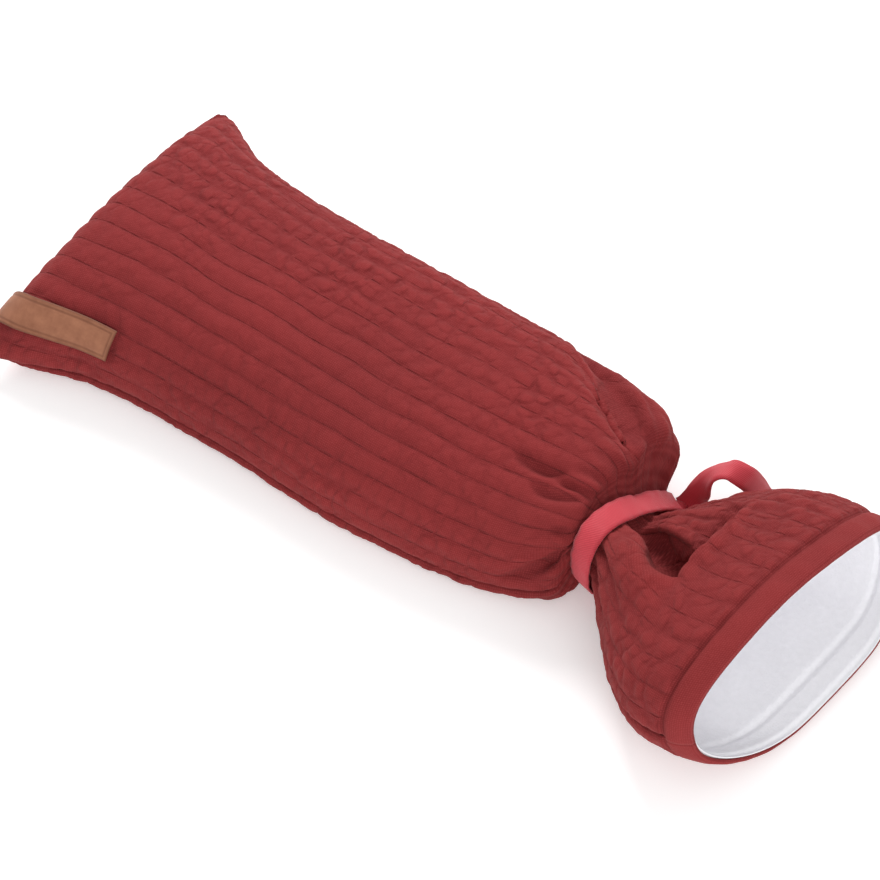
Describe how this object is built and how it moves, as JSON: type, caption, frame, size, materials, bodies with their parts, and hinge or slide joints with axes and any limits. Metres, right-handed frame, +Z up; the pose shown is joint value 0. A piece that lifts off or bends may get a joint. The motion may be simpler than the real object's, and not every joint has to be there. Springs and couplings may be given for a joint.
{
  "type": "hot water bottle cover",
  "caption": "Quilted fabric cover for a hot water bottle, lying flat, its neck tied with a ribbon and its fleece-lined mouth open.",
  "frame": {"origin": "on the table, under the middle of the box round the cover", "axes": "+X from the closed end to the mouth, +Y to the side that the tie's ends lie on, +Z up"},
  "size_m": [0.4108, 0.172, 0.0732],
  "materials": {
    "quilted_cotton": "matt rust-red jersey, quilted in narrow rows",
    "fleece": "matt white fleece",
    "ribbon": "satin coral-red ribbon",
    "leather": "matt tan leather"
  },
  "bodies": {
    "root": {"panel_front": "quilted_cotton", "panel_back": "quilted_cotton", "lining": "fleece", "tie": "ribbon", "label": "leather"}
  },
  "joints": []
}
